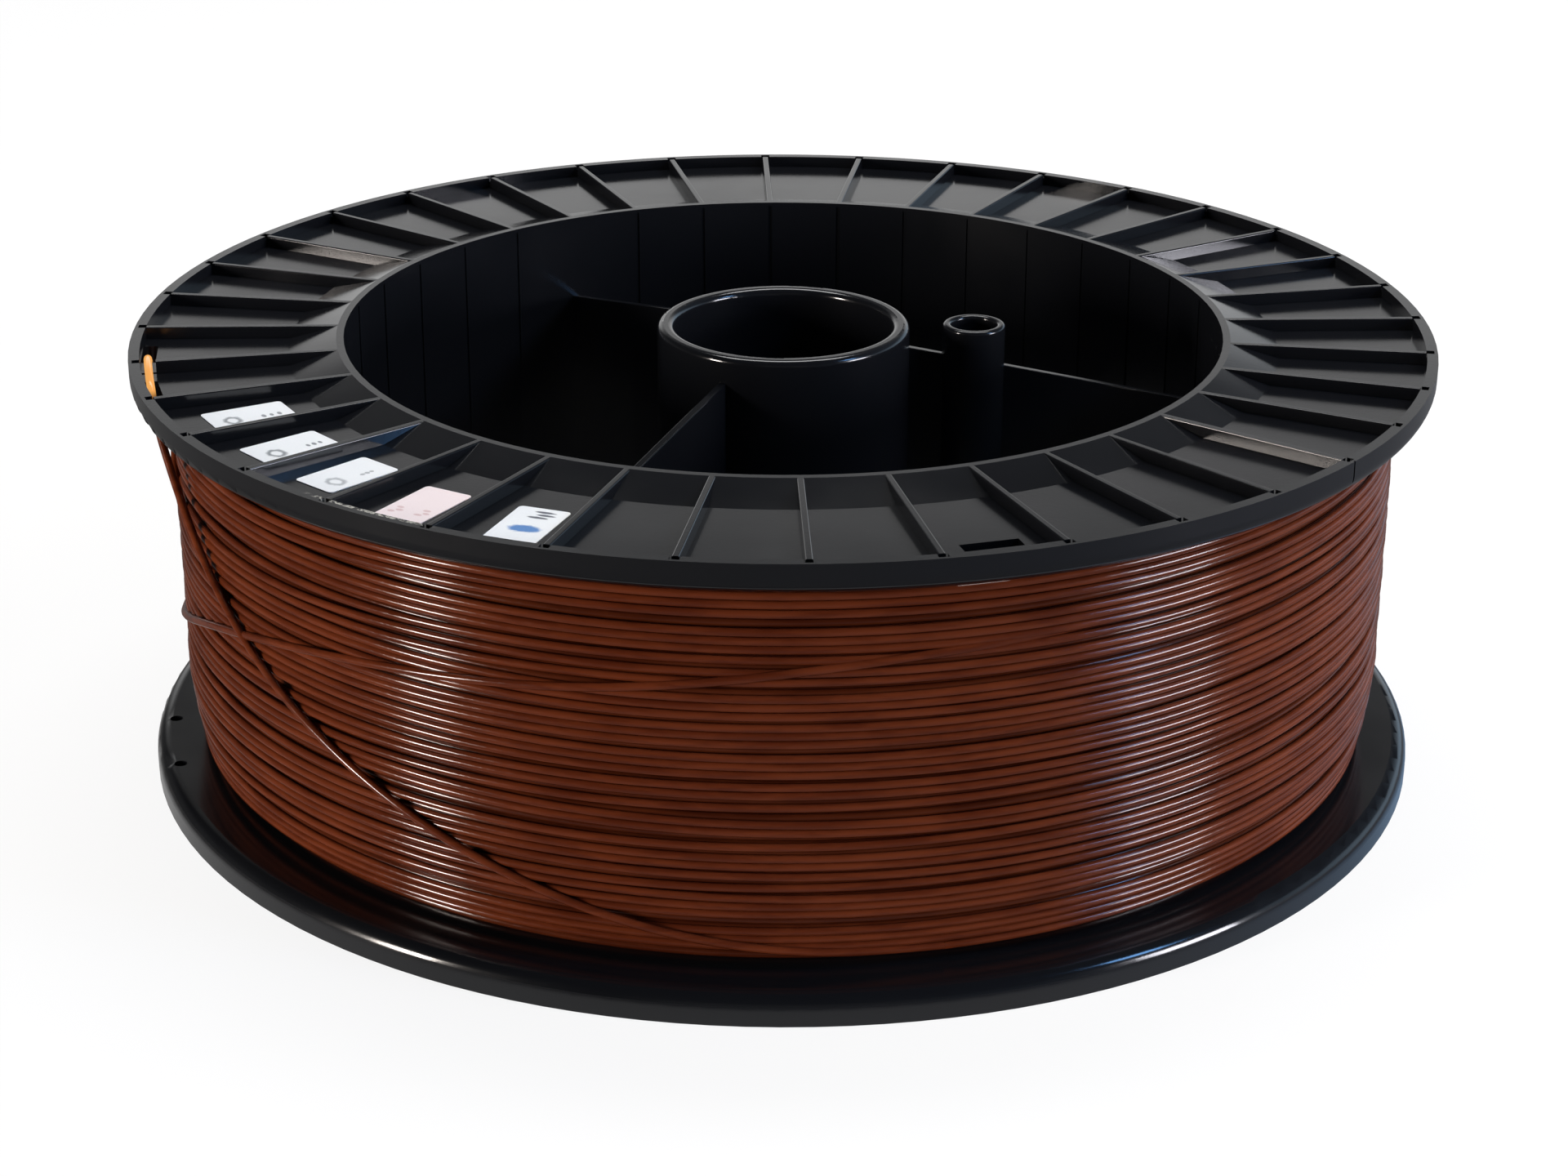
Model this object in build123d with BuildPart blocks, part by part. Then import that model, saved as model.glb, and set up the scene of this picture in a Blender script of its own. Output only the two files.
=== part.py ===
"""Wire spool, 300 mm across: two moulded plastic halves that carry a full winding of brown wire.

Millimetres. Z is the spool's axis, Z = 0 is the face that it stands on, and +X points from the
axis to the drive hole. The lower half mirrors the upper one, but for the wire's slots and holes.
"""
import os
from math import cos, pi, radians, sin, tan

from build123d import *

# ---- driving dimensions ----------------------------------------------------------------------
SPOOL_R = 150.0            # outside radius of both flanges
SPOOL_H = 101.0            # overall height along the axis
FLANGE_T = 7.0             # a flange, from its outer face to the winding
POCKET_DEPTH = 2.7         # the pockets between the ribs, measured from the outer face
RIM_W = 2.5                # wall of the outer rim
SHOULDER_R = 3.5           # rounding of the flange's edge on the winding side
MOUTH_W = 1.7              # flat ring around the mouth of the barrel
CONE_FOOT_R = 114.3        # where the cone around the mouth meets the pocket floor
EDGE_R = 0.3               # small rounding on moulded edges
OUTER_EDGE_R = 0.8         # the rim's outside edge, at the outer face

BARREL_R = 106.0           # the drum that the wire is wound on
BARREL_IN_R = 101.6
HUB_R = 29.4               # tube round the machine's spindle
BORE_R = 25.4
HUB_EDGE_R = 1.5
DRIVE_AT = 44.5            # from the spool's axis to the drive hole's axis
DRIVE_TUBE_R = 7.3
DRIVE_HOLE_R = 5.3
DRIVE_RECESS = 0.6         # the drive tube stops this far short of the outer faces
DRIVE_EDGE_R = 0.8

RIB_COUNT = 36
RIB_TOP_W = 1.5
RIB_FOOT_W = 2.0
NOTCH_W = 2.2              # in the top of the rim at the end of each rib, closed on the outside
NOTCH_DEPTH = 1.0
GROOVE_W = 1.0             # upright lines inside the barrel, one in line with each rib
GROOVE_DEPTH = 0.3
GROOVE_TOP_GAP = 1.0       # the lines stop this far below the mouth

WEB_T = 1.8                # webs between the hub and the barrel
WEB_HUB_DROP = 6.2         # from the outer face down to a web's edge, at the hub
WEB_BARREL_DROP = 20.8     # the same at the barrel
WEB_BITE = 2.0             # a web is drawn this much too long, then trimmed to the tubes

LAP = 3.0                  # overlap of the stepped joint between the two halves

WIRE_D = 1.8
WINDING_SIDE = ((138.4, 7.0), (138.7, 14.0), (140.6, 24.0), (140.8, 80.0), (140.3, 94.0))
SLOT_L = 12.0              # the two slots of the upper flange that hold the wire's end
SLOT_W = 3.4
SLOT_AT = 145.6
SLOT_ANGLES = (-165, -175)
LONG_SLOT_L = 12.5         # a slot in another pocket, further in
LONG_SLOT_W = 3.7
LONG_SLOT_AT = 139.1
LONG_SLOT_ANGLE = -74.9
SEAM_ANGLE = -40           # a fine upright line in the outside of the upper rim
SEAM_W = 0.5
SEAM_DEPTH = 0.3
SEAM_L = 5.0               # from the outer face down
WIRE_HOLE_D = 3.0          # round wire holes through the lower flange
WIRE_HOLE_ANGLES = (-165, -175)
CLIP_ANGLE = -170          # the rib between the two slots that hold the wire's end
CLIP_L = 4.0
CLIP_DEPTH = 2.5           # notch in that rib for the wire to lie in

# the wire's end, from the lowest turns up across the winding and through the two slots:
# angle about the axis in degrees, distance from the axis and height
TAIL_ROUTE = (
    (-90.0, 140.6, 11.6),
    (-97.0, 140.9, 13.3),
    (-104.0, 141.4, 16.5),
    (-111.0, 141.9, 21.0),
    (-118.0, 142.2, 26.4),
    (-125.0, 142.2, 32.6),
    (-132.0, 142.2, 39.4),
    (-139.0, 142.2, 46.9),
    (-145.0, 142.2, 54.2),
    (-150.5, 142.4, 61.8),
    (-155.0, 142.8, 69.3),
    (-158.6, 143.6, 77.0),
    (-161.2, 144.7, 84.6),
    (-163.0, 145.6, 90.6),
    (-165.0, 145.8, 96.4),
    (-167.0, 145.8, 99.6),
    (-173.0, 145.8, 99.6),
    (-175.0, 145.8, 96.4),
    (-176.6, 145.7, 92.2),
)
ARC_SHARE = 0.45           # of the shorter run, taken by the arc at each corner of the route

LABEL_L = 18.5
LABEL_W = 11.4
LABEL_T = 0.15
LABEL_CORNER_R = 1.0
LABELS = (                 # angle about the axis, distance from it and turn from the radius
    (-154.8, 129.7, 2.5),
    (-144.7, 130.4, 3.5),
    (-135.2, 131.0, 0.5),
    (-124.7, 133.9, 2.0),
    (-114.3, 133.4, 1.8),
)

# ---- derived places --------------------------------------------------------------------------
MID_Z = SPOOL_H / 2
WINDING_LOW = FLANGE_T
WINDING_HIGH = SPOOL_H - FLANGE_T
FLOOR_Z = SPOOL_H - POCKET_DEPTH           # outer side of the upper pocket floor
FLOOR_T = FLANGE_T - POCKET_DEPTH
RIM_IN_R = SPOOL_R - RIM_W
RIM_MID_R = SPOOL_R - RIM_W / 2
NOTCH_IN_R = RIM_IN_R - EDGE_R / 2
NOTCH_OUT_R = SPOOL_R - OUTER_EDGE_R
RIB_START_R = BARREL_IN_R + MOUTH_W / 2
RIB_ANGLES = [k * 360 / RIB_COUNT for k in range(RIB_COUNT)]
WEB_ANGLES = (0, 120, 240)

os.makedirs("parts", exist_ok=True)


def save(part, name):
    """Label a finished sub-part and write it as one STEP file."""
    part.label = name
    export_step(part, f"parts/{name}.step")


def mirrored(part):
    """The lower half's copy of a sub-part of the upper half."""
    return mirror(part, about=Plane.XY.offset(MID_Z), mode=Mode.PRIVATE)


def around(radius, angles, turn=0.0):
    """Places at a radius about the axis, each facing away from the axis."""
    return [Location((radius * cos(radians(a)), radius * sin(radians(a)), 0), (0, 0, a + turn))
            for a in angles]


# ---- flanges ---------------------------------------------------------------------------------
with BuildPart() as rib:
    with BuildSketch(Plane.YZ.offset(RIB_START_R)) as rib_section:
        root_z = FLOOR_Z - FLOOR_T / 2
        with BuildLine():
            Polyline((-RIB_FOOT_W / 2, root_z), (RIB_FOOT_W / 2, root_z),
                     (RIB_TOP_W / 2, SPOOL_H), (-RIB_TOP_W / 2, SPOOL_H), close=True)
        make_face()
        fillet(rib_section.vertices().group_by(Axis.Y)[-1], EDGE_R)
    extrude(amount=RIM_MID_R - RIB_START_R)

with BuildPart() as plain_flange:
    with BuildSketch(Plane.XZ) as flange_section:
        with BuildLine():
            Polyline((BARREL_IN_R, WINDING_HIGH), (SPOOL_R, WINDING_HIGH), (SPOOL_R, SPOOL_H),
                     (RIM_IN_R, SPOOL_H), (RIM_IN_R, FLOOR_Z), (CONE_FOOT_R, FLOOR_Z),
                     (BARREL_IN_R + MOUTH_W, SPOOL_H), (BARREL_IN_R, SPOOL_H), close=True)
        make_face()
        face_corners = flange_section.vertices().group_by(Axis.Y)[-1].sort_by(Axis.X)
        fillet(flange_section.vertices().group_by(Axis.Y)[0].sort_by(Axis.X)[-1], SHOULDER_R)
        fillet(face_corners[:-1], EDGE_R)
        fillet(face_corners[-1], OUTER_EDGE_R)
    revolve(axis=Axis.Z)
    with PolarLocations(0, RIB_COUNT):
        add(rib.part)
    with BuildSketch(Plane.XY.offset(SPOOL_H)):
        with Locations(*around((NOTCH_IN_R + NOTCH_OUT_R) / 2, RIB_ANGLES)):
            Rectangle(NOTCH_OUT_R - NOTCH_IN_R, NOTCH_W)
    extrude(amount=-NOTCH_DEPTH, mode=Mode.SUBTRACT)
    with BuildSketch(Plane.XY.offset(WINDING_HIGH)):
        with Locations(*around(BARREL_IN_R, [a for a in RIB_ANGLES if a not in WEB_ANGLES])):
            Rectangle(2 * GROOVE_DEPTH, GROOVE_W)
    extrude(amount=FLANGE_T - GROOVE_TOP_GAP, mode=Mode.SUBTRACT)

with BuildPart() as upper_flange:
    add(plain_flange.part)
    with BuildSketch(Plane.XY.offset(FLOOR_Z)):
        with Locations(*around(SLOT_AT, SLOT_ANGLES)):
            Rectangle(SLOT_W, SLOT_L)
        with Locations(*around(LONG_SLOT_AT, [LONG_SLOT_ANGLE])):
            Rectangle(LONG_SLOT_W, LONG_SLOT_L)
    extrude(amount=-FLOOR_T, mode=Mode.SUBTRACT)
    with BuildSketch(Plane.XY.offset(SPOOL_H)):
        with Locations(*around(SLOT_AT, [CLIP_ANGLE])):
            Rectangle(SLOT_W, CLIP_L)
    extrude(amount=-CLIP_DEPTH, mode=Mode.SUBTRACT)
    with BuildSketch(Plane.XY.offset(SPOOL_H)):
        with Locations(*around(SPOOL_R, [SEAM_ANGLE])):
            Rectangle(2 * SEAM_DEPTH, SEAM_W)
    extrude(amount=-SEAM_L, mode=Mode.SUBTRACT)
save(upper_flange.part, "upper_flange")

with BuildPart() as lower_flange:
    add(mirrored(plain_flange.part))
    with BuildSketch(Plane.XY.offset(POCKET_DEPTH)):
        with Locations(*around(SLOT_AT, WIRE_HOLE_ANGLES)):
            Circle(WIRE_HOLE_D / 2)
    extrude(amount=FLOOR_T, mode=Mode.SUBTRACT)
save(lower_flange.part, "lower_flange")


# ---- tubes: barrel, hub and drive tube -------------------------------------------------------
def half_tube(inner, outer, end, centre=0.0):
    """From one end to mid-height, where the lower half's inner lip enters the upper half."""
    step = centre + (inner + outer) / 2
    with BuildPart() as tube:
        with BuildSketch(Plane.XZ):
            with BuildLine():
                Polyline((centre + inner, end), (centre + outer, end), (centre + outer, MID_Z),
                         (step, MID_Z), (step, MID_Z + LAP), (centre + inner, MID_Z + LAP),
                         close=True)
            make_face()
        revolve(axis=Axis((centre, 0, 0), (0, 0, 1)))
    return tube.part


for half, end in (("upper", WINDING_HIGH), ("lower", WINDING_LOW)):
    with BuildPart() as barrel:
        add(half_tube(BARREL_IN_R, BARREL_R, end))
        with BuildSketch(Plane.XY.offset(WINDING_LOW)):
            with Locations(*around(BARREL_IN_R, [a for a in RIB_ANGLES if a not in WEB_ANGLES])):
                Rectangle(2 * GROOVE_DEPTH, GROOVE_W)
        extrude(amount=WINDING_HIGH - WINDING_LOW, mode=Mode.SUBTRACT)
    save(barrel.part, f"barrel_{half}")

for half, end in (("upper", SPOOL_H), ("lower", 0.0)):
    with BuildPart() as hub:
        add(half_tube(BORE_R, HUB_R, end))
        fillet(hub.edges().filter_by_position(Axis.Z, end, end), HUB_EDGE_R)
    save(hub.part, f"hub_{half}")

for half, end in (("upper", SPOOL_H - DRIVE_RECESS), ("lower", DRIVE_RECESS)):
    with BuildPart() as drive_tube:
        add(half_tube(DRIVE_HOLE_R, DRIVE_TUBE_R, end, DRIVE_AT))
        fillet(drive_tube.edges().filter_by_position(Axis.Z, end, end), DRIVE_EDGE_R)
    save(drive_tube.part, f"drive_tube_{half}")


# ---- webs ------------------------------------------------------------------------------------
def upper_web(start, stop, drive_side):
    """A web of the upper half along +X between two radii, trimmed to the tubes it joins."""
    slope = (WEB_BARREL_DROP - WEB_HUB_DROP) / (BARREL_IN_R - HUB_R)

    def edge_z(radius):
        return SPOOL_H - WEB_HUB_DROP - slope * (radius - HUB_R)

    with BuildPart() as web:
        with BuildSketch(Plane.XZ):
            with BuildLine():
                Polyline((start, MID_Z), (stop, MID_Z), (stop, edge_z(stop)),
                         (start, edge_z(start)), close=True)
            make_face()
        extrude(amount=WEB_T / 2, both=True)
        fillet(web.edges().filter_by(Axis.Y, reverse=True).group_by(Axis.Z)[-1], EDGE_R)
        with BuildSketch(Plane.XY):
            Circle(BARREL_IN_R)
            Circle(HUB_R, mode=Mode.SUBTRACT)
            if drive_side:
                with Locations((DRIVE_AT, 0)):
                    Circle(DRIVE_TUBE_R, mode=Mode.SUBTRACT)
        extrude(amount=SPOOL_H, mode=Mode.INTERSECT)
    return web.part


for name, angle, start, stop in (
        ("web_drive_inner", 0, HUB_R - WEB_BITE, DRIVE_AT),
        ("web_drive_outer", 0, DRIVE_AT, BARREL_IN_R + WEB_BITE),
        ("web_left", 120, HUB_R - WEB_BITE, BARREL_IN_R + WEB_BITE),
        ("web_right", 240, HUB_R - WEB_BITE, BARREL_IN_R + WEB_BITE)):
    web_part = upper_web(start, stop, angle == 0).rotate(Axis.Z, angle)
    save(web_part, f"{name}_upper")
    save(mirrored(web_part), f"{name}_lower")


# ---- wire ------------------------------------------------------------------------------------
with BuildPart() as wire_winding:
    with BuildSketch(Plane.XZ):
        with BuildLine():
            Polyline((BARREL_R, WINDING_LOW), *WINDING_SIDE, (BARREL_R, WINDING_HIGH), close=True)
        make_face()
    revolve(axis=Axis.Z)
save(wire_winding.part, "wire_winding")


def arc_radii(points):
    """The largest even arc at each corner of a route, from its runs and its turn."""
    runs = [after - before for before, after in zip(points, points[1:])]
    return [ARC_SHARE * min(a.length, b.length) / tan(radians(a.get_angle(b)) / 2)
            for a, b in zip(runs, runs[1:])]


tail_points = [Vector(r * cos(radians(a)), r * sin(radians(a)), z) for a, r, z in TAIL_ROUTE]
tail_radii = arc_radii(tail_points)
with BuildPart() as wire_tail:
    with BuildLine() as tail_path:
        FilletPolyline(*tail_points, radius=tail_radii)
    with BuildSketch(Plane(tail_points[0], z_dir=tail_points[1] - tail_points[0])):
        Circle(WIRE_D / 2)
    sweep(path=tail_path.wire())
save(wire_tail.part, "wire_tail")
tail_length = tail_path.wire().length
print("tail arc radii", [round(r, 1) for r in tail_radii])
print("tail length", round(tail_length, 1), "volume against its section times its length",
      round(wire_tail.part.volume / (pi * WIRE_D**2 / 4 * tail_length), 4))

# ---- labels ----------------------------------------------------------------------------------
for number, (angle, radius, turn) in enumerate(LABELS, start=1):
    with BuildPart() as label:
        with BuildSketch(Plane.XY.offset(FLOOR_Z)):
            with Locations(*around(radius, [angle], turn)):
                RectangleRounded(LABEL_L, LABEL_W, LABEL_CORNER_R)
        extrude(amount=LABEL_T)
    save(label.part, f"label_{number}")
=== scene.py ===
from math import cos, radians, sin

import bpy
import numpy as np
from mathutils import Matrix, Vector


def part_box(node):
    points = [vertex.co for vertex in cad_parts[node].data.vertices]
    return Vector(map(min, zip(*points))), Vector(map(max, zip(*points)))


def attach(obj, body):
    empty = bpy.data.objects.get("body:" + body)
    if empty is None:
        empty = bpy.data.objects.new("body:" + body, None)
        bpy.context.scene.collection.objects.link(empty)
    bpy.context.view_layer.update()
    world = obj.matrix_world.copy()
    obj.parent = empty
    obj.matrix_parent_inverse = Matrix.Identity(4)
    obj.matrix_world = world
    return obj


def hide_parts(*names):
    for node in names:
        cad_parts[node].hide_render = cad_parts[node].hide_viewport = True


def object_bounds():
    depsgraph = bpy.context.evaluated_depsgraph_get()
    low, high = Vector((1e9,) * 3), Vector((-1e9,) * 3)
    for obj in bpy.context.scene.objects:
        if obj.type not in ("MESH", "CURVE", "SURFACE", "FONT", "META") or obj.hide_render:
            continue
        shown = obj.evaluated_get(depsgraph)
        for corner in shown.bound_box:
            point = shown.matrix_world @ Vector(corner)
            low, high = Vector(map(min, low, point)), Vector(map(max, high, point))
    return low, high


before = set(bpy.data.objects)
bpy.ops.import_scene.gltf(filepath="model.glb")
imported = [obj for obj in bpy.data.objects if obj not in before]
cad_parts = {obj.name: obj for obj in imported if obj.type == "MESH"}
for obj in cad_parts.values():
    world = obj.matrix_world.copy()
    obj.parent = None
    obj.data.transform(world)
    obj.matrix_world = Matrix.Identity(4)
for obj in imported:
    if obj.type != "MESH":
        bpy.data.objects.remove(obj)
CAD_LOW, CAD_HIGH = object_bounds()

# Wire spool. The plastic mouldings and the labels are the CAD nodes with better materials, and the
# winding and the wire's end are built here. The frame is the CAD's: metres, Z up the spool's axis,
# +X towards the drive hole. Places on the spool are given about its axis, in degrees and
# millimetres, and MM turns millimetres into metres.
MM = 0.001
WHITE = (1, 1, 1, 1)
scene = bpy.context.scene
CENTRE = (CAD_LOW + CAD_HIGH) / 2


def about_axis(angle, radius, z):
    """The point, in metres, at an angle in degrees, a radius and a height in millimetres."""
    a = radians(angle)
    return radius * MM * cos(a), radius * MM * sin(a), z * MM


def direction(plan, elevation):
    """The unit vector at a plan angle and an elevation, both in degrees."""
    a, e = radians(plan), radians(elevation)
    return Vector((cos(e) * cos(a), cos(e) * sin(a), sin(e)))


def made(mesh_or_curve, name, material):
    """Puts new geometry in the scene as an object with one material."""
    piece = bpy.data.objects.new(name, mesh_or_curve)
    mesh_or_curve.materials.append(material)
    scene.collection.objects.link(piece)
    return piece


def wire_piece(piece, node):
    """Says that a new piece stands for a CAD node of the wire."""
    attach(piece, "root")
    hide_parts(node)


# ---- camera ----------------------------------------------------------------------------------
CAMERA_DISTANCE = 0.7762      # from the spool's centre, metres
CAMERA_PLAN = -92.0           # plan angle of the camera's place
CAMERA_ELEVATION = 21.39
AIM_PLAN = -2.03              # where the picture's right-hand edge points in plan
AIM_ELEVATION = 22.52         # how far the camera looks down
CAMERA_ROLL = 0.23
LENS, SENSOR = 74.64, 36      # millimetres

turn, tilt, roll = radians(AIM_PLAN), radians(AIM_ELEVATION), radians(CAMERA_ROLL)
back = Vector((sin(turn) * cos(tilt), -cos(turn) * cos(tilt), sin(tilt)))
right = Vector((cos(turn), sin(turn), 0))
up = back.cross(right)
right, up = right * cos(roll) + up * sin(roll), up * cos(roll) - right * sin(roll)
camera = bpy.data.objects.new("camera", bpy.data.cameras.new("camera"))
scene.collection.objects.link(camera)
camera.data.lens = LENS
camera.data.sensor_width = SENSOR
camera.data.clip_start = 0.01
place = CENTRE + CAMERA_DISTANCE * direction(CAMERA_PLAN, CAMERA_ELEVATION)
camera.matrix_world = Matrix.Translation(place) @ Matrix((right, up, back)).transposed().to_4x4()
scene.camera = camera
scene.view_settings.view_transform = "Standard"


# ---- node helpers ----------------------------------------------------------------------------
class Nodes:
    """A short way to write a node tree: each call adds a node and links its inputs."""

    def __init__(self, tree):
        self.tree = tree

    def feed(self, socket, value):
        """Links a socket to another node's output, or sets its value."""
        if isinstance(value, bpy.types.NodeSocket):
            self.tree.links.new(value, socket)
        else:
            socket.default_value = value

    def add(self, kind, inputs=None, **settings):
        node = self.tree.nodes.new(kind)
        for key, value in settings.items():
            setattr(node, key, value)
        for key, value in (inputs or {}).items():
            self.feed(node.inputs[key], value)
        return node

    def math(self, operation, *values, clamp=False):
        return self.add("ShaderNodeMath", dict(enumerate(values)), operation=operation,
                        use_clamp=clamp).outputs[0]

    def product(self, first, *others):
        for other in others:
            first = self.math("MULTIPLY", first, other)
        return first

    def hypotenuse(self, a, b):
        return self.math("SQRT", self.math("ADD", self.product(a, a), self.product(b, b)))

    def ramp(self, value, low, high, to_low=0.0, to_high=1.0):
        """Goes smoothly from to_low to to_high as the value goes from low to high."""
        return self.add("ShaderNodeMapRange", {0: value, 1: low, 2: high, 3: to_low, 4: to_high},
                        interpolation_type="SMOOTHSTEP").outputs[0]

    def noise(self, vector, scale, detail=2.0, roughness=0.5):
        return self.add("ShaderNodeTexNoise",
                        {"Vector": vector, "Scale": scale, "Detail": detail,
                         "Roughness": roughness}).outputs[0]

    def mix(self, factor, a, b):
        """Colour a where the factor is 0, colour b where it is 1."""
        return self.add("ShaderNodeMix", {0: factor, 6: a, 7: b}, data_type="RGBA").outputs[2]

    def parts(self, vector):
        """A vector's three components."""
        return self.add("ShaderNodeSeparateXYZ", {0: vector}).outputs

    def stretched(self, vector, scale):
        return self.add("ShaderNodeMapping", {"Vector": vector, "Scale": scale}).outputs[0]

    def bump(self, shader, height, strength):
        node = self.add("ShaderNodeBump",
                        {"Height": height, "Strength": strength, "Distance": BUMP_DEPTH})
        self.feed(shader.inputs["Normal"], node.outputs[0])


def new_material(name):
    """A material with its node helper, its shader and the place on the object, in metres."""
    material = bpy.data.materials.new(name)
    material.use_nodes = True
    nodes = Nodes(material.node_tree)
    shader = material.node_tree.nodes["Principled BSDF"]
    return material, nodes, shader, nodes.add("ShaderNodeTexCoord").outputs["Object"]


# ---- materials -------------------------------------------------------------------------------
# A noise's scale is in waves per metre, roughly, and stands before its detail and roughness.
BUMP_DEPTH = 0.0002
PLASTIC_IOR = 1.5

PLASTIC_SHADES = (0.0050, 0.0056, 0.0071, 1), (0.0065, 0.0072, 0.0088, 1)
PLASTIC_GLOSS = 0.13, 0.19            # roughness between the smears and in them
SCRATCH_ROUGHNESS = 0.07              # added along the hair scratches

GLINT_ANGLE, GLINT_SPAN = -126.0, 7.0   # a painted highlight: a lighter stretch of the upper rim's inner edge
GLINT_FROM_R, GLINT_TO_R = 147.3, 148.6
GLINT_DEPTH, GLINT_SOFT = 0.8, 0.3      # its depth below the top, and how softly it ends
GLINT_COLOUR = (0.42, 0.41, 0.36, 1)
GLINT_ROUGHNESS = 0.35

SHEATH_DARK, SHEATH_LIGHT = (0.086, 0.0170, 0.0059), (0.140, 0.0305, 0.0102)
SHEATH_GLOSS = 0.12, 0.18
SHEATH_SPECULAR = 0.32
DEEP_PAINTED_SHADE = 0.6                        # painted shade: the turns below the outer layer are drawn this much darker
# painted glow on the wire's end: an orange emission standing in for light through the sheath
LIT_COLOUR, LIT_STRENGTH = (1.0, 0.47, 0.12, 1), 0.85
LIT_BELOW_TOP, LIT_SOFT = 2.8, 2.0    # the painted glow on the wire's end starts this far below the top


def plastic_material():
    """Black moulded plastic: glossy, with faint smears, a fine grain, hair scratches and a painted
    highlight on the upper rim's inner edge.
    """
    material, nodes, shader, at = new_material("spool_plastic")
    cloud = nodes.noise(at, 28, 3)
    grain = nodes.noise(at, 1400, 2)
    scratch = nodes.noise(nodes.stretched(at, (1, 1, 22)), 240, 4, 0.75)
    shade = nodes.mix(cloud, *PLASTIC_SHADES)

    x, y, z = nodes.parts(at)
    away = nodes.math("ABSOLUTE", nodes.math("SUBTRACT", nodes.math("ARCTAN2", y, x),
                                             radians(GLINT_ANGLE)))
    radius = nodes.hypotenuse(x, y)
    # painted highlight: a lighter, rougher stretch of the upper rim's inner edge, drawn into the
    # colour
    painted_glint = nodes.product(
        nodes.ramp(away, radians(GLINT_SPAN / 2), radians(GLINT_SPAN), 1.0, 0.0),
        nodes.ramp(radius, GLINT_FROM_R * MM, (GLINT_FROM_R + GLINT_SOFT) * MM),
        nodes.ramp(radius, (GLINT_TO_R - GLINT_SOFT) * MM, GLINT_TO_R * MM, 1.0, 0.0),
        nodes.ramp(z, CAD_HIGH.z - GLINT_DEPTH * MM, CAD_HIGH.z - GLINT_SOFT * MM),
        nodes.ramp(nodes.noise(at, 900, 3, 0.7), 0.46, 0.56))

    # the painted highlight's colour goes over the plastic's own shades
    nodes.feed(shader.inputs["Base Color"], nodes.mix(painted_glint, shade, GLINT_COLOUR))
    smear = nodes.ramp(cloud, 0.35, 0.70, *PLASTIC_GLOSS)
    gloss = nodes.math("ADD", smear, nodes.ramp(scratch, 0.60, 0.80, 0.0, SCRATCH_ROUGHNESS))
    gloss = nodes.math("ADD", gloss, nodes.product(painted_glint, GLINT_ROUGHNESS))
    nodes.feed(shader.inputs["Roughness"], gloss)
    shader.inputs["IOR"].default_value = PLASTIC_IOR
    nodes.bump(shader, grain, 0.03)
    return material


def wire_material(name, dim=1.0, lit_from=None):
    """Brown plastic sheath: glossy, with slight changes of shade along each turn.

    Above the height lit_from the sheath glows orange: a painted glow, drawn as emission, standing
    in for light that comes through the sheath.
    """
    material, nodes, shader, at = new_material(name)
    turns = nodes.noise(nodes.stretched(at, (1, 1, 9)), 55, 3, 0.6)
    dust = nodes.noise(at, 700, 2)
    # dim below one darkens the sheath's colour: painted shade for turns that lie deeper
    dark, light = (tuple(c * dim for c in shade) + (1,) for shade in (SHEATH_DARK, SHEATH_LIGHT))
    nodes.feed(shader.inputs["Base Color"],
               nodes.mix(nodes.ramp(turns, 0.32, 0.68), dark, light))
    nodes.feed(shader.inputs["Roughness"], nodes.ramp(dust, 0.3, 0.7, *SHEATH_GLOSS))
    shader.inputs["IOR"].default_value = PLASTIC_IOR
    shader.inputs["Specular IOR Level"].default_value = SHEATH_SPECULAR
    # painted glow: emission above the height lit_from
    if lit_from is not None:
        shader.inputs["Emission Color"].default_value = LIT_COLOUR
        nodes.feed(shader.inputs["Emission Strength"],
                   nodes.ramp(nodes.parts(at)[2], lit_from - LIT_SOFT * MM, lit_from,
                              0.0, LIT_STRENGTH))
    nodes.bump(shader, dust, 0.015)
    return material


plastic = plastic_material()
sheath = wire_material("wire_sheath")
painted_shade_sheath = wire_material("wire_sheath_deep_painted_shade", DEEP_PAINTED_SHADE)
painted_glow_sheath = wire_material("wire_sheath_end_painted_glow", 1.0, CAD_HIGH.z - LIT_BELOW_TOP * MM)

# ---- the winding -----------------------------------------------------------------------------
WIRE_R = 0.9 * MM
STEPS = 180                   # points round one turn
SIDES = 10                    # sides of a wire's section
UNDER_SIDES = 8
# outside of the turns against height
SIDE_Z = (7.0, 9.0, 14.0, 20.0, 26.0, 80.0, 90.0, 94.0)
SIDE_R = (138.2, 138.6, 139.4, 140.6, 141.2, 141.3, 140.9, 139.6)
LOWEST, HIGHEST = 10.3, 92.6  # middle of the outer layer's lowest and of its highest turn
UNDER_LOWEST, UNDER_HIGHEST = 8.6, 92.9
UNDER_DEPTH = 1.50            # how much deeper the under layer lies
TAIL_START = -78.0            # where the outer layer's first turn goes on as the wire's end
UNDER_START = 40.0
START_R = 138.1               # radius where the outer layer's wire starts
LEAD = 40.0                   # degrees over which a layer's first and last turns fall into place
DIVE = 3.0                    # a layer's last turn ends this much deeper, out of sight

WAVES = (0.35, 0.16), (1.00, 0.50)  # a turn's waves: share of the layer's wander, length in turns
# the turns lie looser round this angle, upwards from a height: angle and spread, height and rise
LOOSE_ANGLE, LOOSE_SPAN = -150, 24
LOOSE_FROM, LOOSE_RISE = 40, 25
LOOSE_WAVE = 1.1, 0.09              # height, and length in turns
RADIUS_WAVE = 0.10, 0.2

SPREAD = 1.86                 # the turns of a layer settle at least about this far apart
SETTLING = 30                 # steps in which the turns of a layer push each other apart
PUSH = 0.35                   # share of an overlap that each turn gives way in a step
PAST_LOW, PAST_HIGH = 0.2, 0.3      # how far a turn may settle past the layer's ends
TOUCHING = 0.995              # turns closer than this share of the wire ride up on each other
RIDE_LIMIT = 0.9


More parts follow.
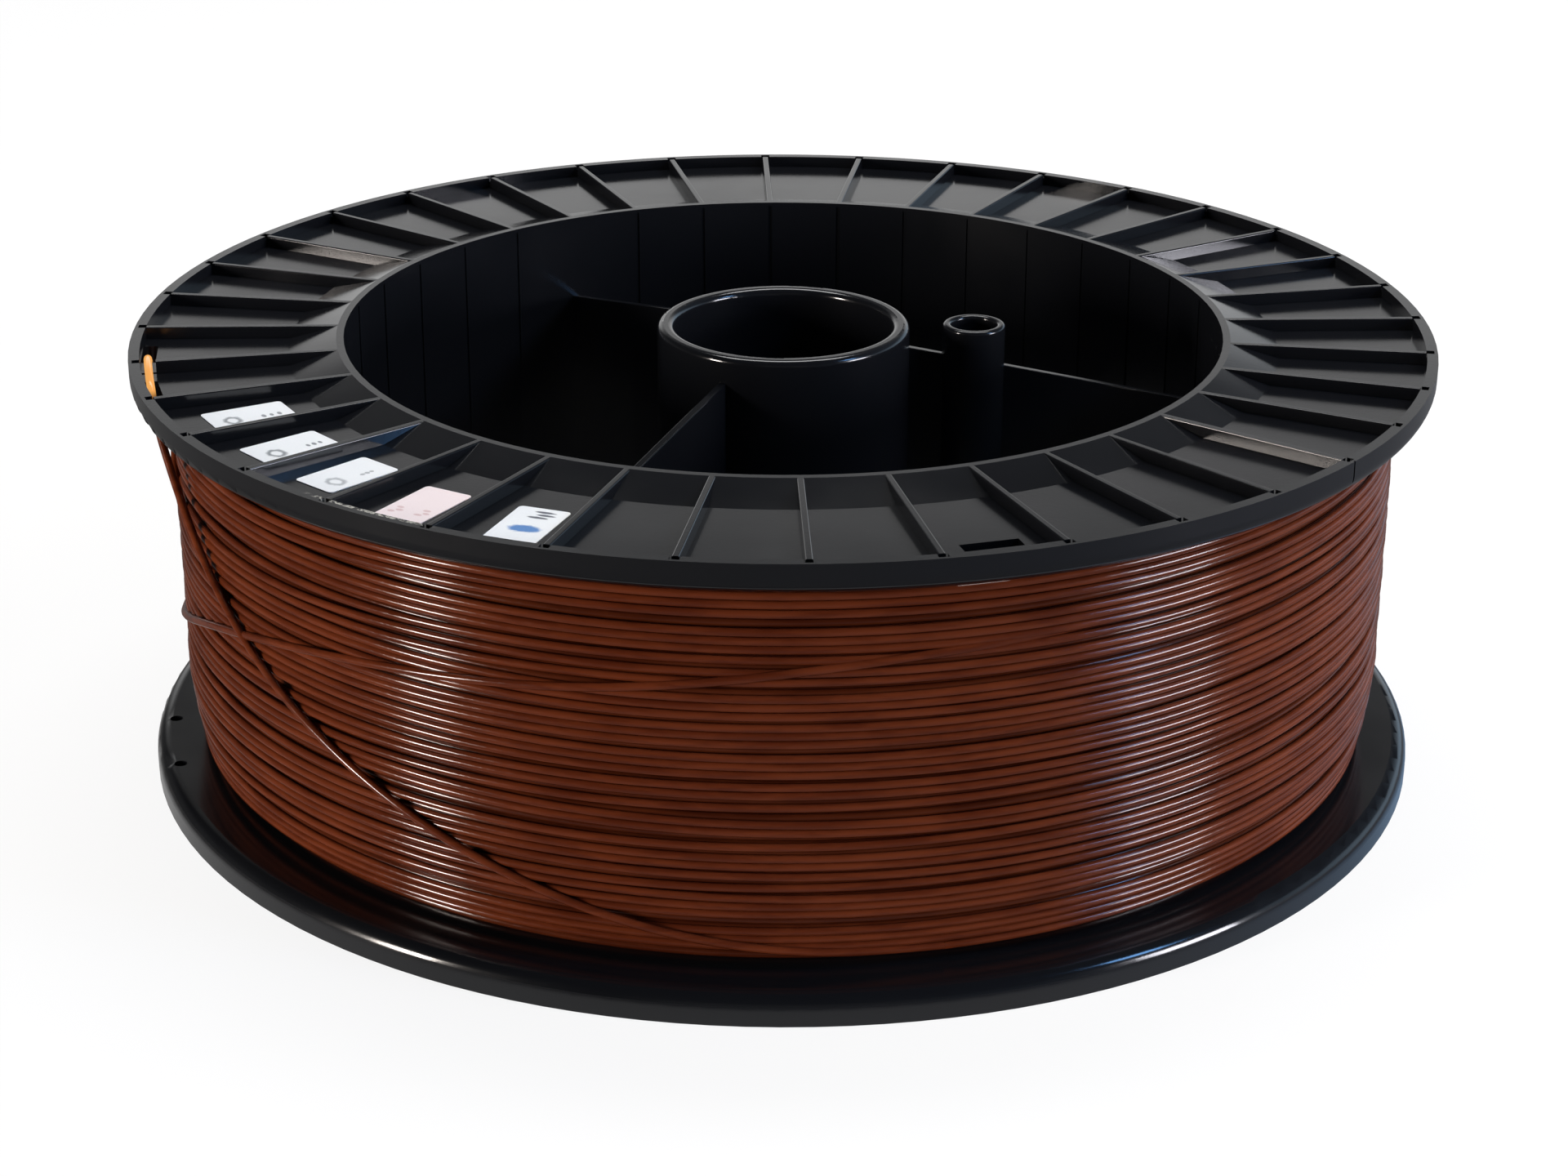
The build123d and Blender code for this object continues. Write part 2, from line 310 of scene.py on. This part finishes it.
def smooth_noise(rng, count, length):
    """Random values that change over about this many points, with a spread of one."""
    knots = max(4, int(count / length) + 3)
    values = rng.normal(size=knots)
    at = np.linspace(0, knots - 3, count)
    i = at.astype(int)
    f = at - i
    i = np.clip(i, 0, knots - 4)
    p0, p1, p2, p3 = (values[i + k] for k in range(4))
    return 0.5 * (2 * p1 + (p2 - p0) * f + (2 * p0 - 5 * p1 + 4 * p2 - p3) * f**2
                  + (3 * p1 - p0 - 3 * p2 + p3) * f**3)


def eased(line, side):
    """Moves each inner value of a line part of the way to its neighbours, in place."""
    line[1:-1] = (1 - 2 * side) * line[1:-1] + side * (line[2:] + line[:-2])


def layer(seed, turns, depth, start, low, high, wander):
    """Centre line of one layer: angle, radius and height of each point."""
    rng = np.random.default_rng(seed)
    count = turns * STEPS
    along = np.arange(count) / STEPS
    angle = start + along * 360
    z = low + (high - low) / turns * along
    for share, length in WAVES:
        z += wander * share * smooth_noise(rng, count, STEPS * length)
    place = (angle + 180) % 360 - 180
    loose = (np.exp(-((place - LOOSE_ANGLE) / LOOSE_SPAN) ** 2)
             * np.clip((z - LOOSE_FROM) / LOOSE_RISE, 0, 1))
    z += loose * LOOSE_WAVE[0] * smooth_noise(rng, count, STEPS * LOOSE_WAVE[1])

    grid = z.reshape(turns, STEPS)            # a row for each turn, so turns lie one above another
    for _ in range(SETTLING):
        push = np.clip(SPREAD - (grid[1:] - grid[:-1]), 0, None) * PUSH
        grid[1:] += push
        grid[:-1] -= push
        grid[:] = np.clip(grid, low - PAST_LOW, high + PAST_HIGH)
        eased(grid.reshape(-1), 0.2)

    radius = np.interp(z, SIDE_Z, SIDE_R) - WIRE_R / MM - depth
    radius += RADIUS_WAVE[0] * smooth_noise(rng, count, STEPS * RADIUS_WAVE[1])
    rings = radius.reshape(turns, STEPS)
    wire_d = 2 * WIRE_R / MM
    for k in range(1, turns):                 # a turn too close to its neighbour rides up on it
        gap = np.clip(grid[k] - grid[k - 1], 0, wire_d)
        ride = rings[k - 1] + np.sqrt(np.clip(wire_d * wire_d - gap * gap, 0, None))
        ride = np.minimum(ride, rings[k] + RIDE_LIMIT)
        rings[k] = np.where(gap < wire_d * TOUCHING, np.maximum(rings[k], ride), rings[k])
    for _ in range(3):
        eased(radius, 0.25)

    led_in = np.clip(along * 360 / LEAD, 0, 1)
    led_in = led_in * led_in * (3 - 2 * led_in)
    led_out = np.clip((turns - along) * 360 / LEAD, 0, 1)
    radius = (START_R - depth + (radius - START_R + depth) * led_in
              - DIVE * (1 - led_out) ** 2)
    return angle, radius, low + (z - low) * led_in


def smooth_mesh(name, points, faces):
    mesh = bpy.data.meshes.new(name)
    mesh.from_pydata(points, [], faces)
    mesh.polygons.foreach_set("use_smooth", [True] * len(mesh.polygons))
    mesh.update()
    return mesh


def tube(name, line_about_axis, material, sides=SIDES):
    """A wire along a line of points given about the axis, as a closed mesh."""
    angle, radius, z = line_about_axis
    a = np.radians(angle)
    out = np.stack([np.cos(a), np.sin(a), np.zeros_like(a)], 1)
    line = out * (radius * MM)[:, None]
    line[:, 2] = z * MM
    tangent = np.gradient(line, axis=0)
    tangent /= np.linalg.norm(tangent, axis=1)[:, None]
    across = np.cross(tangent, out)
    across /= np.linalg.norm(across, axis=1)[:, None]
    out = np.cross(across, tangent)
    ring = np.arange(sides) * 2 * np.pi / sides
    points = (line[:, None] + WIRE_R * (out[:, None] * np.cos(ring)[None, :, None]
                                        + across[:, None] * np.sin(ring)[None, :, None]))
    count = len(angle)
    row = (np.arange(count - 1) * sides)[:, None]
    first, turn_on = row + np.arange(sides)[None], row + (np.arange(sides)[None] + 1) % sides
    faces = np.stack([first, first + sides, turn_on + sides, turn_on], -1).reshape(-1, 4)
    faces = [tuple(f) for f in faces.tolist()]
    faces.append(tuple(range(sides)))
    faces.append(tuple(reversed(range((count - 1) * sides, count * sides))))
    return made(smooth_mesh(name, points.reshape(-1, 3).tolist(), faces), name, material)


CORE_IN_R = 106.2             # just outside the barrel
CORE_BELOW = 4.6              # how far its ribs lie below the outside of the turns
CORE_GAP = 0.02               # clear of each flange
CORE_ROWS, CORE_AROUND = 170, 96
RIB_HEIGHT, ROWS_PER_RIB = 0.35, 3.4


def core_mesh():
    """The turns below the two modelled layers: a ribbed drum between the flanges."""
    low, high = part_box("wire_winding")
    heights = np.linspace(low.z / MM + CORE_GAP, high.z / MM - CORE_GAP, CORE_ROWS)
    ribs = RIB_HEIGHT * np.abs(np.sin(np.arange(CORE_ROWS) * np.pi / ROWS_PER_RIB))
    radii = np.interp(heights, SIDE_Z, SIDE_R) - CORE_BELOW + ribs
    profile = [(CORE_IN_R, heights[0]), *zip(radii, heights), (CORE_IN_R, heights[-1])]
    n = len(profile)
    points = [about_axis(360 * k / CORE_AROUND, r, z)
              for k in range(CORE_AROUND) for r, z in profile]
    faces = []
    for k in range(CORE_AROUND):
        j = (k + 1) % CORE_AROUND
        for i in range(n):
            h = (i + 1) % n
            faces.append((k * n + i, j * n + i, j * n + h, k * n + h))
    return smooth_mesh("winding_core", points, faces)


outer = tube("winding_outer_layer",
             layer(seed=11, turns=35, depth=0.0, start=TAIL_START,
                   low=LOWEST, high=HIGHEST, wander=1.35), sheath)
# the under layer and the core wear the darker sheath, painted shade of the turns lying deeper
under = tube("winding_under_layer",
             layer(seed=23, turns=43, depth=UNDER_DEPTH, start=UNDER_START,
                   low=UNDER_LOWEST, high=UNDER_HIGHEST, wander=0.80), painted_shade_sheath, UNDER_SIDES)
core = made(core_mesh(), "winding_core", painted_shade_sheath)
for piece in (outer, under, core):
    wire_piece(piece, "wire_winding")

# ---- the wire's end and the stray turns ------------------------------------------------------
# each route's points: angle about the axis, distance from it and height
TAIL_ROUTE = (
    (-78.0, 138.1, 10.3), (-84.0, 138.9, 10.6),
    (-90.0, 139.8, 11.4), (-97.0, 140.3, 13.3), (-104.0, 141.0, 16.5), (-111.0, 141.7, 21.0),
    (-118.0, 142.2, 26.4), (-125.0, 142.3, 32.6), (-132.0, 142.3, 39.4), (-139.0, 142.3, 46.9),
    (-145.0, 142.3, 54.2), (-150.5, 142.4, 61.8), (-155.0, 142.8, 69.3), (-158.6, 143.6, 77.0),
    (-161.2, 144.7, 84.6), (-163.0, 145.6, 90.6), (-165.0, 145.8, 96.4), (-167.0, 145.8, 99.6),
    (-173.0, 145.8, 99.6), (-175.0, 145.8, 96.4), (-176.6, 145.7, 92.2),
)
# one turn that was laid aslant over the others and settles among them at both ends
SLANT_ROUTE = (
    (-232.0, 139.2, 18.0), (-224.0, 140.2, 20.0), (-212.0, 141.2, 23.0), (-200.0, 141.5, 27.0),
    (-186.0, 141.6, 32.4), (-172.0, 141.7, 38.4), (-163.7, 142.0, 44.6), (-155.0, 142.1, 51.6),
    (-146.2, 142.1, 56.9), (-138.7, 142.1, 60.6), (-130.0, 142.1, 63.7), (-120.0, 142.1, 66.0),
    (-110.0, 142.1, 68.3), (-100.0, 142.0, 71.4), (-91.0, 141.9, 74.6), (-82.0, 141.5, 76.9),
    (-74.0, 140.8, 78.0), (-66.0, 139.6, 78.4), (-60.0, 138.8, 78.5),
)
# a loose turn that comes down beside the wire's end and goes in under the outer ones
LOOSE_ROUTE = (
    (-180.0, 138.6, 85.0), (-173.0, 140.6, 82.6), (-167.0, 141.8, 78.0), (-162.0, 142.1, 72.4),
    (-156.5, 141.9, 66.6), (-150.5, 140.9, 61.0), (-144.0, 139.4, 55.0), (-137.0, 138.2, 49.6),
)


def wire_curve(name, route, material):
    """A wire along a smooth NURBS line through a route about the axis."""
    curve = bpy.data.curves.new(name, "CURVE")
    curve.dimensions = "3D"
    spline = curve.splines.new("NURBS")
    spline.points.add(len(route) - 1)
    for point, corner in zip(spline.points, route):
        point.co = (*about_axis(*corner), 1)
    spline.order_u = 3
    spline.use_endpoint_u = True
    spline.resolution_u = 10
    curve.bevel_depth = WIRE_R
    curve.bevel_resolution = 4
    curve.use_fill_caps = True
    return made(curve, name, material)


wire_piece(wire_curve("wire_tail_strand", TAIL_ROUTE, painted_glow_sheath), "wire_tail")
wire_piece(wire_curve("winding_slanting_turn", SLANT_ROUTE, sheath), "wire_winding")
wire_piece(wire_curve("winding_loose_turn", LOOSE_ROUTE, sheath), "wire_winding")

# ---- finishes of the CAD nodes ---------------------------------------------------------------
PAPER_WHITE = (0.88, 0.92, 0.95, 1), (0.98, 1.0, 1.0, 1)
PAPER_PINK = (0.92, 0.78, 0.78, 1), (1.0, 0.89, 0.89, 1)
GREY_INK, RED_INK, BLACK_INK = (0.10, 0.12, 0.14, 1), (0.42, 0.08, 0.07, 1), (0.03, 0.04, 0.07, 1)
BLUE_INK = (0.10, 0.26, 0.58, 1)
# a label's marks are ovals: middle and half sizes, millimetres from the label's own middle
RING_OUT, RING_IN = (4.3, 1.5, 1.9, 2.4), (4.3, 1.5, 1.1, 1.5)
BLUE_OVAL = (2.1, 0.4, 1.8, 3.3)
# each label: (angle about the axis, distance from it, turn from the radius), paper, ink and how
# strongly it is printed, whether it has the ring, whether it has the blue oval, dashes
LABELS = {
    "label_1": ((-154.8, 129.7, 2.5), PAPER_WHITE, GREY_INK, 0.75, True, False,
                ((-2.6, 1.8, 0.5, 0.9), (-4.4, 1.8, 0.4, 0.8), (-6.2, 1.8, 0.5, 0.9))),
    "label_2": ((-144.7, 130.4, 3.5), PAPER_WHITE, GREY_INK, 0.8, True, False,
                ((-3.4, 1.6, 0.4, 0.7), (-4.9, 1.6, 0.5, 0.8), (-6.4, 1.6, 0.4, 0.7))),
    "label_3": ((-135.2, 131.0, 0.5), PAPER_WHITE, GREY_INK, 0.55, True, False,
                ((-2.2, 2.2, 0.6, 0.5), (-3.5, 2.2, 0.5, 0.6), (-4.7, 2.2, 0.5, 0.5))),
    "label_4": ((-124.7, 133.9, 2.0), PAPER_PINK, RED_INK, 0.35, False, False,
                ((5.8, -3.6, 0.5, 0.8), (4.6, -2.4, 0.5, 0.9), (3.2, -3.2, 0.5, 0.8),
                 (5.0, 2.4, 0.5, 0.9), (3.8, 3.6, 0.5, 0.8), (2.4, 2.8, 0.5, 0.9))),
    "label_5": ((-114.3, 133.4, 1.8), PAPER_WHITE, BLACK_INK, 0.9, False, True,
                ((-4.2, 0.4, 0.5, 2.2), (-5.7, 1.6, 0.5, 2.0), (-7.2, 0.8, 0.5, 2.2))),
}
MARK_SOFT = 0.25              # how softly a mark ends, as a share of its size
MARK_WOBBLE = 0.5             # unevenness of its outline


def label_material(number, place, paper, ink, strength, has_ring, has_oval, dashes):
    """Coated paper with a few plain marks, no lettering."""
    material, nodes, shader, at = new_material(f"label_paper_{number}")
    angle, radius, turned = place
    moved = nodes.add("ShaderNodeVectorMath", {0: at, 1: about_axis(angle, radius, 0)},
                      operation="SUBTRACT").outputs[0]
    local = nodes.add("ShaderNodeVectorRotate",
                      {"Vector": moved, "Angle": -radians(angle + turned)},
                      rotation_type="Z_AXIS").outputs[0]
    x, y = (nodes.product(part, 1 / MM) for part in list(nodes.parts(local))[:2])
    wobble = nodes.product(nodes.math("SUBTRACT", nodes.noise(local, 900, 2), 0.5), MARK_WOBBLE)

    def oval(middle_x, middle_y, half_x, half_y):
        """One inside the oval, zero outside."""
        r = nodes.hypotenuse(nodes.math("DIVIDE", nodes.math("SUBTRACT", x, middle_x), half_x),
                             nodes.math("DIVIDE", nodes.math("SUBTRACT", y, middle_y), half_y))
        return nodes.ramp(nodes.math("ADD", r, wobble), 1 - MARK_SOFT, 1 + MARK_SOFT, 1.0, 0.0)

    def printed(mark, colour):
        return nodes.mix(nodes.math("MULTIPLY", mark, strength, clamp=True), colour, ink)

    fibre = nodes.noise(local, 2500, 3)
    colour = nodes.mix(fibre, *paper)
    if has_ring:
        colour = printed(nodes.math("SUBTRACT", oval(*RING_OUT), oval(*RING_IN)), colour)
    for dash in dashes:
        colour = printed(oval(*dash), colour)
    if has_oval:
        colour = nodes.mix(oval(*BLUE_OVAL), colour, BLUE_INK)
    nodes.feed(shader.inputs["Base Color"], colour)
    nodes.feed(shader.inputs["Roughness"], nodes.ramp(fibre, 0.3, 0.7, 0.42, 0.55))
    nodes.bump(shader, fibre, 0.08)
    return material


for name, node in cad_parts.items():
    finish = plastic
    if name in LABELS:
        finish = label_material(name.split("_")[1], *LABELS[name])
    node.data.materials.clear()
    node.data.materials.append(finish)

# ---- light -----------------------------------------------------------------------------------
# each panel faces the spool: plan angle, elevation and distance from the spool's centre, width and
# height, power, colour, and whether it shows in reflections
PANELS = {
    "left_panel": (-154, 7, 1.5, 0.24, 0.42, 21, (1.0, 0.91, 0.84), True),
    "right_panel": (-23, 7, 1.5, 0.46, 0.42, 18, (0.92, 0.91, 1.0), True),
    "blue_panel": (-25.5, 33, 1.5, 0.26, 0.22, 4, (0.22, 0.50, 1.0), True),
    "right_fill": (5, 40, 1.5, 1.2, 0.6, 12, (1.0, 0.92, 0.86), False),
    "top_panel": (90, 72, 2.0, 1.6, 0.6, 26, (1, 1, 1), True),
}
for name, (plan, rise, distance, width, height, power, colour, glossy) in PANELS.items():
    lamp = bpy.data.lights.new(name, "AREA")
    lamp.shape = "RECTANGLE"
    lamp.size, lamp.size_y = width, height
    lamp.energy = power
    lamp.color = colour
    panel = bpy.data.objects.new(name, lamp)
    away = direction(plan, rise)
    panel.location = CENTRE + distance * away
    panel.rotation_mode = "QUATERNION"
    panel.rotation_quaternion = away.to_track_quat("Z", "Y")
    panel.visible_glossy = glossy
    scene.collection.objects.link(panel)

# ---- surroundings ----------------------------------------------------------------------------
# The room's glow, by its direction's x, y and z: a ramp between two values of one component, with
# the glow at each. The product of them all is the light that the object gets and reflects.
X, Y, Z = 0, 1, 2
ROOM_GLOW = (
    (Z, 0.22, 0.42, 1.0, 0.11),       # a bright band at the height that the pockets reflect
    (Z, 0.50, 0.75, 1.0, 0.40),
    (Z, -0.15, 0.10, 0.45, 1.0),
    (Y, -0.35, 0.45, 0.10, 1.0),      # darker on the camera's side
    (X, -0.05, 0.35, 1.0, 0.95),
    (X, -0.50, -0.27, 0.06, 1.0),     # dark on the far left
)
BACKDROP = 0.985                      # what the camera sees of the room
ROOM_BLUE = (0.60, 0.80, 1.0, 1)      # the room's right side, in reflections
ROOM_BLUE_X = 0.20, 0.60

world = bpy.data.worlds.new("studio")
scene.world = world
world.use_nodes = True
sky = Nodes(world.node_tree)
background = world.node_tree.nodes["Background"]
toward = sky.parts(sky.add("ShaderNodeTexCoord").outputs["Generated"])
seen = sky.add("ShaderNodeLightPath").outputs["Is Camera Ray"]
unseen = sky.math("SUBTRACT", 1.0, seen)
glow = sky.product(*(sky.ramp(toward[part], *ramp) for part, *ramp in ROOM_GLOW))
sky.feed(background.inputs["Strength"],
         sky.math("ADD", sky.product(seen, BACKDROP), sky.product(glow, unseen)))
sky.feed(background.inputs["Color"],
         sky.mix(sky.product(sky.ramp(toward[X], *ROOM_BLUE_X), unseen), WHITE, ROOM_BLUE))

FLOOR_SIZE = 6.0
FLOOR_GREY = (0.12, 0.12, 0.12, 1)
FLOOR_ROUGHNESS = 0.9
# the floor's own glow against the distance from the axis, in metres: a ramp, the glow at each end
SEEN_GLOW = (0.8, 2.6, 0.87, 0.95)        # to the camera, so that it is as pale as the backdrop
EDGE_GLOW = (0.152, 0.172, 0.40, 0.01)    # in reflections, close to the lower flange
FAR_GLOW = (0.22, 0.40, 0.0, 0.005)       # in reflections, farther out
FLOOR_BLUE = (0.30, 0.60, 1.0, 1)         # the glow's colour in reflections on the right
FLOOR_BLUE_X = 0.04, 0.16

h = FLOOR_SIZE / 2
floor_mesh = bpy.data.meshes.new("floor")
floor_mesh.from_pydata([(-h, -h, 0), (h, -h, 0), (h, h, 0), (-h, h, 0)], [], [(0, 1, 2, 3)])
floor_material, nodes, shader, where = new_material("pale_floor")
shader.inputs["Base Color"].default_value = FLOOR_GREY
shader.inputs["Roughness"].default_value = FLOOR_ROUGHNESS
seen = nodes.add("ShaderNodeLightPath").outputs["Is Camera Ray"]
from_axis = nodes.add("ShaderNodeVectorMath", {0: where}, operation="LENGTH").outputs[1]
unseen_glow = nodes.math("ADD", nodes.ramp(from_axis, *EDGE_GLOW),
                         nodes.ramp(from_axis, *FAR_GLOW))
seen_glow = nodes.product(seen, nodes.ramp(from_axis, *SEEN_GLOW))
nodes.feed(shader.inputs["Emission Strength"], nodes.math("MAXIMUM", seen_glow, unseen_glow))
tint = nodes.product(nodes.ramp(nodes.parts(where)[X], *FLOOR_BLUE_X),
                     nodes.math("SUBTRACT", 1.0, seen))
nodes.feed(shader.inputs["Emission Color"], nodes.mix(tint, WHITE, FLOOR_BLUE))
floor = made(floor_mesh, "floor", floor_material)
floor.location.z = CAD_LOW.z
